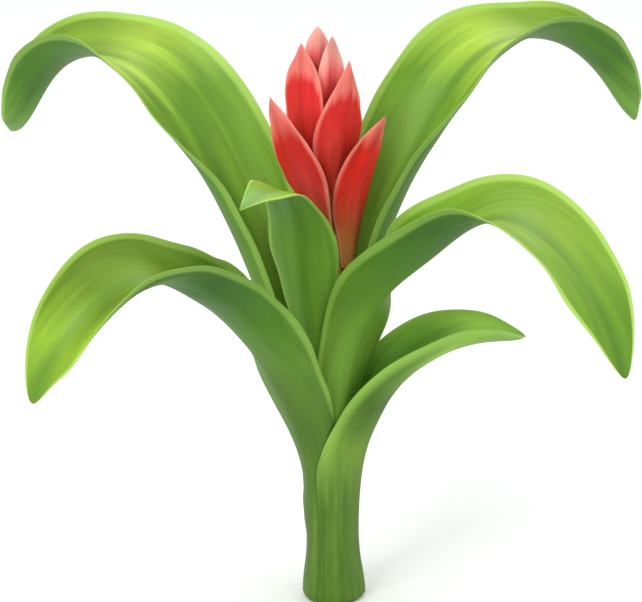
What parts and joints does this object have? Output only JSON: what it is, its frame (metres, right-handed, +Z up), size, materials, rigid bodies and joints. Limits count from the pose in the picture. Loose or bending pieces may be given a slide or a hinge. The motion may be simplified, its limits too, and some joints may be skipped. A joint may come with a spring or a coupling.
{
  "type": "guzmania plant",
  "caption": "Bromeliad in flower: arching glossy strap leaves that leave a flared stem round an upright head of red bracts, rooted in the ground.",
  "frame": {"origin": "centre of the flat cut under the stem, at ground level", "axes": "+Z up along the stem, the front of the plant faces -Y, +X to the right seen from the front"},
  "size_m": [0.4894, 0.5239, 0.4148],
  "materials": {
    "leaf_green": "glossy waxy leaf",
    "stem_green": "satin green stem of leaf sheaths",
    "bract_red": "waxy red bract"
  },
  "bodies": {
    "root": {"stem": "stem_green", "flower_stalk": "stem_green", "flower_pith": "bract_red", "leaf_upper_left_rise": "leaf_green", "leaf_upper_left_tip": "leaf_green", "leaf_upper_right_rise": "leaf_green", "leaf_upper_right_tip": "leaf_green", "leaf_mid_left_rise": "leaf_green", "leaf_mid_left_tip": "leaf_green", "leaf_mid_right_rise": "leaf_green", "leaf_mid_right_tip": "leaf_green", "leaf_curled_front_rise": "leaf_green", "leaf_curled_front_tip": "leaf_green", "leaf_mid_back_rise": "leaf_green", "leaf_mid_back_tip": "leaf_green", "leaf_small_right": "leaf_green", "leaf_small_left": "leaf_green", "leaf_small_back": "leaf_green", "bract_top": "bract_red", "bract_upper_right": "bract_red", "bract_upper_left": "bract_red", "bract_middle_right": "bract_red", "bract_lower_left": "bract_red", "bract_lower_right": "bract_red", "bract_back_top": "bract_red", "bract_back_left": "bract_red", "bract_back_right": "bract_red", "bract_back_low": "bract_red"}
  },
  "joints": []
}
